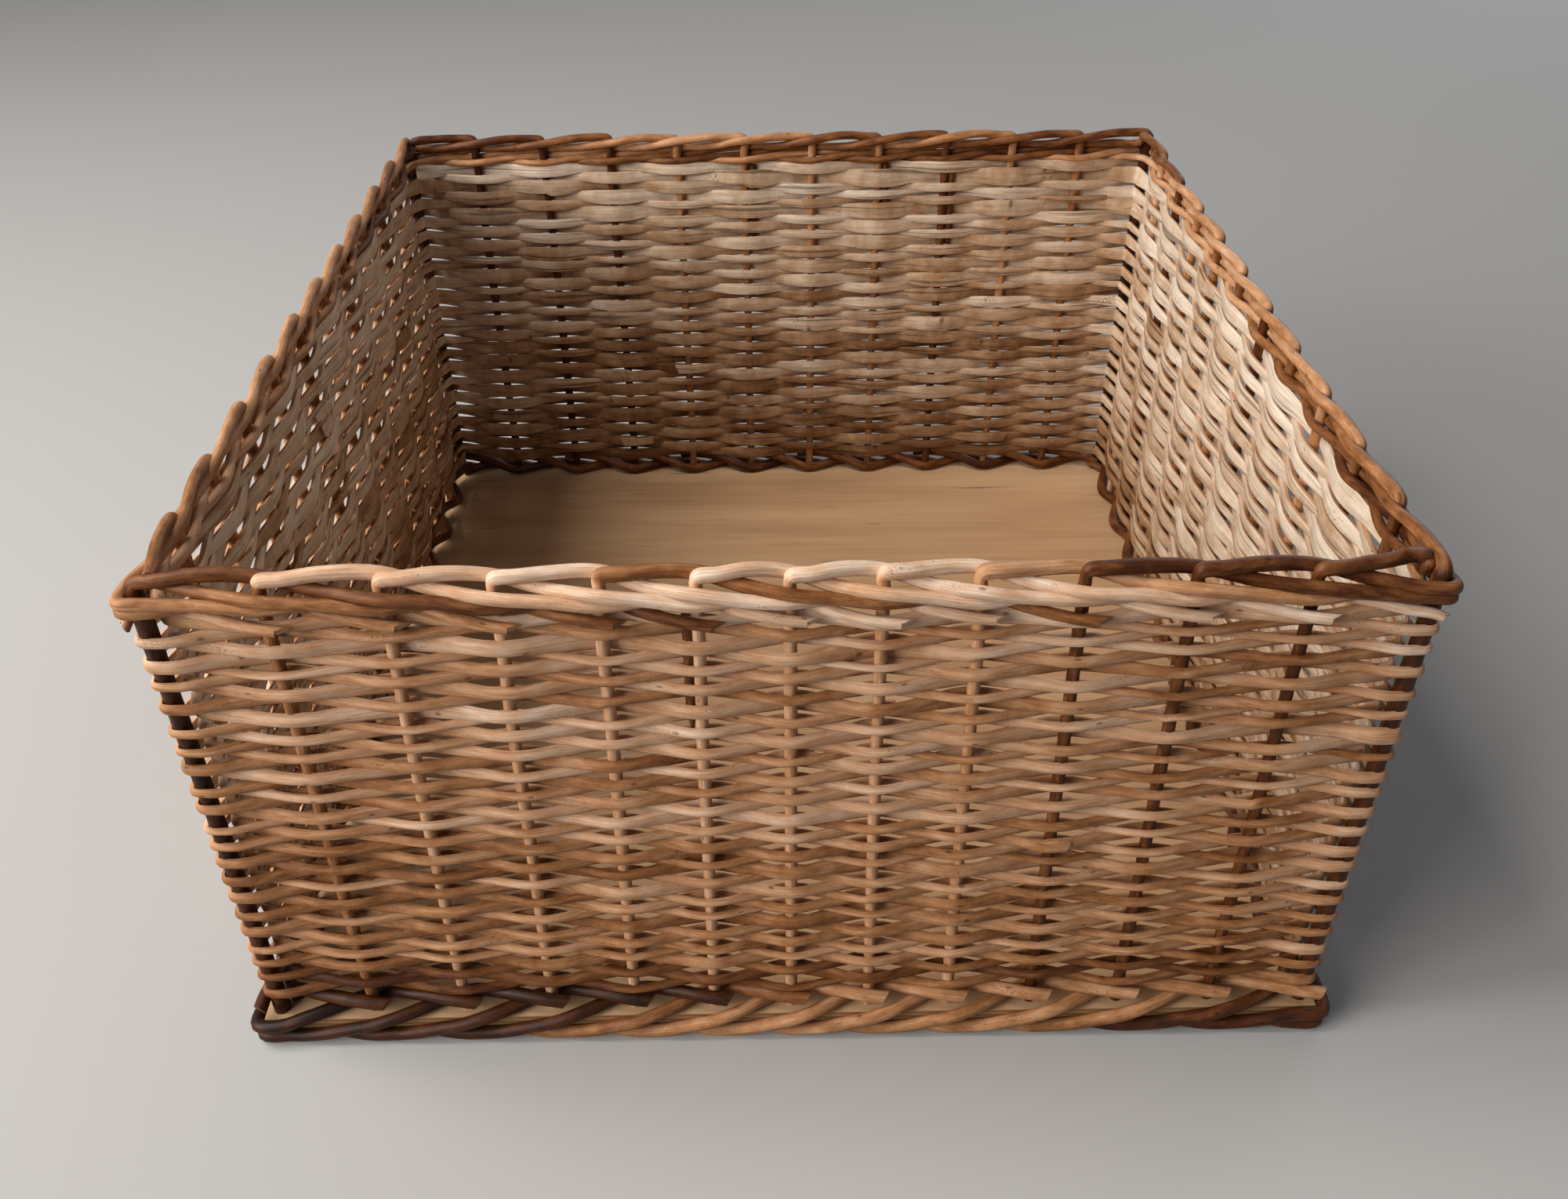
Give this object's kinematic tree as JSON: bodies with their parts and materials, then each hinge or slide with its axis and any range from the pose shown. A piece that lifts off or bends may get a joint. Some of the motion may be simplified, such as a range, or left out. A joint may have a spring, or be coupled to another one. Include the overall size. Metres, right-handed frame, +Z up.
{
  "type": "basket",
  "caption": "Square open-top willow storage basket, randed on a drilled plywood base with a woven-down border and foot.",
  "frame": {"origin": "on the floor, at the centre of the basket's footprint", "axes": "+Z up; -Y out of the front wall; +X to the right when the front wall is seen from outside"},
  "size_m": [0.5182, 0.5222, 0.27],
  "materials": {
    "birch_plywood": "bare sanded birch plywood, grain along X",
    "willow_rod": "buff peeled willow rod, dull satin",
    "dark_willow_rod": "dark brown willow rod, dull satin",
    "split_willow": "split buff willow, satin skin outside and bare wood inside"
  },
  "bodies": {
    "root": {"base_board": "birch_plywood", "stakes_front": "willow_rod", "stakes_right": "willow_rod", "stakes_rear": "willow_rod", "stakes_left": "willow_rod", "corner_posts": "dark_willow_rod", "bye_stakes": "dark_willow_rod", "weave_row_01": "split_willow", "weave_row_02": "split_willow", "weave_row_03": "split_willow", "weave_row_04": "split_willow", "weave_row_05": "split_willow", "weave_row_06": "split_willow", "weave_row_07": "split_willow", "weave_row_08": "split_willow", "weave_row_09": "split_willow", "weave_row_10": "split_willow", "weave_row_11": "split_willow", "weave_row_12": "split_willow", "weave_row_13": "split_willow", "weave_row_14": "split_willow", "weave_row_15": "split_willow", "weave_row_16": "split_willow", "weave_row_17": "split_willow", "weave_row_18": "split_willow", "weave_row_19": "split_willow", "weave_row_20": "split_willow", "weave_row_21": "split_willow", "weave_row_22": "split_willow", "weave_row_23": "split_willow", "weave_row_24": "split_willow", "weave_row_25": "split_willow", "weave_row_26": "split_willow", "weave_row_27": "split_willow", "weave_row_28": "split_willow", "weave_row_29": "split_willow", "weave_row_30": "split_willow", "weave_row_31": "split_willow", "weave_row_32": "split_willow", "weave_row_33": "split_willow", "weave_row_34": "split_willow", "weave_row_35": "split_willow", "weave_row_36": "split_willow", "weave_row_37": "split_willow", "weave_row_38": "split_willow", "weave_row_39": "split_willow", "weave_row_40": "split_willow"}
  },
  "joints": []
}
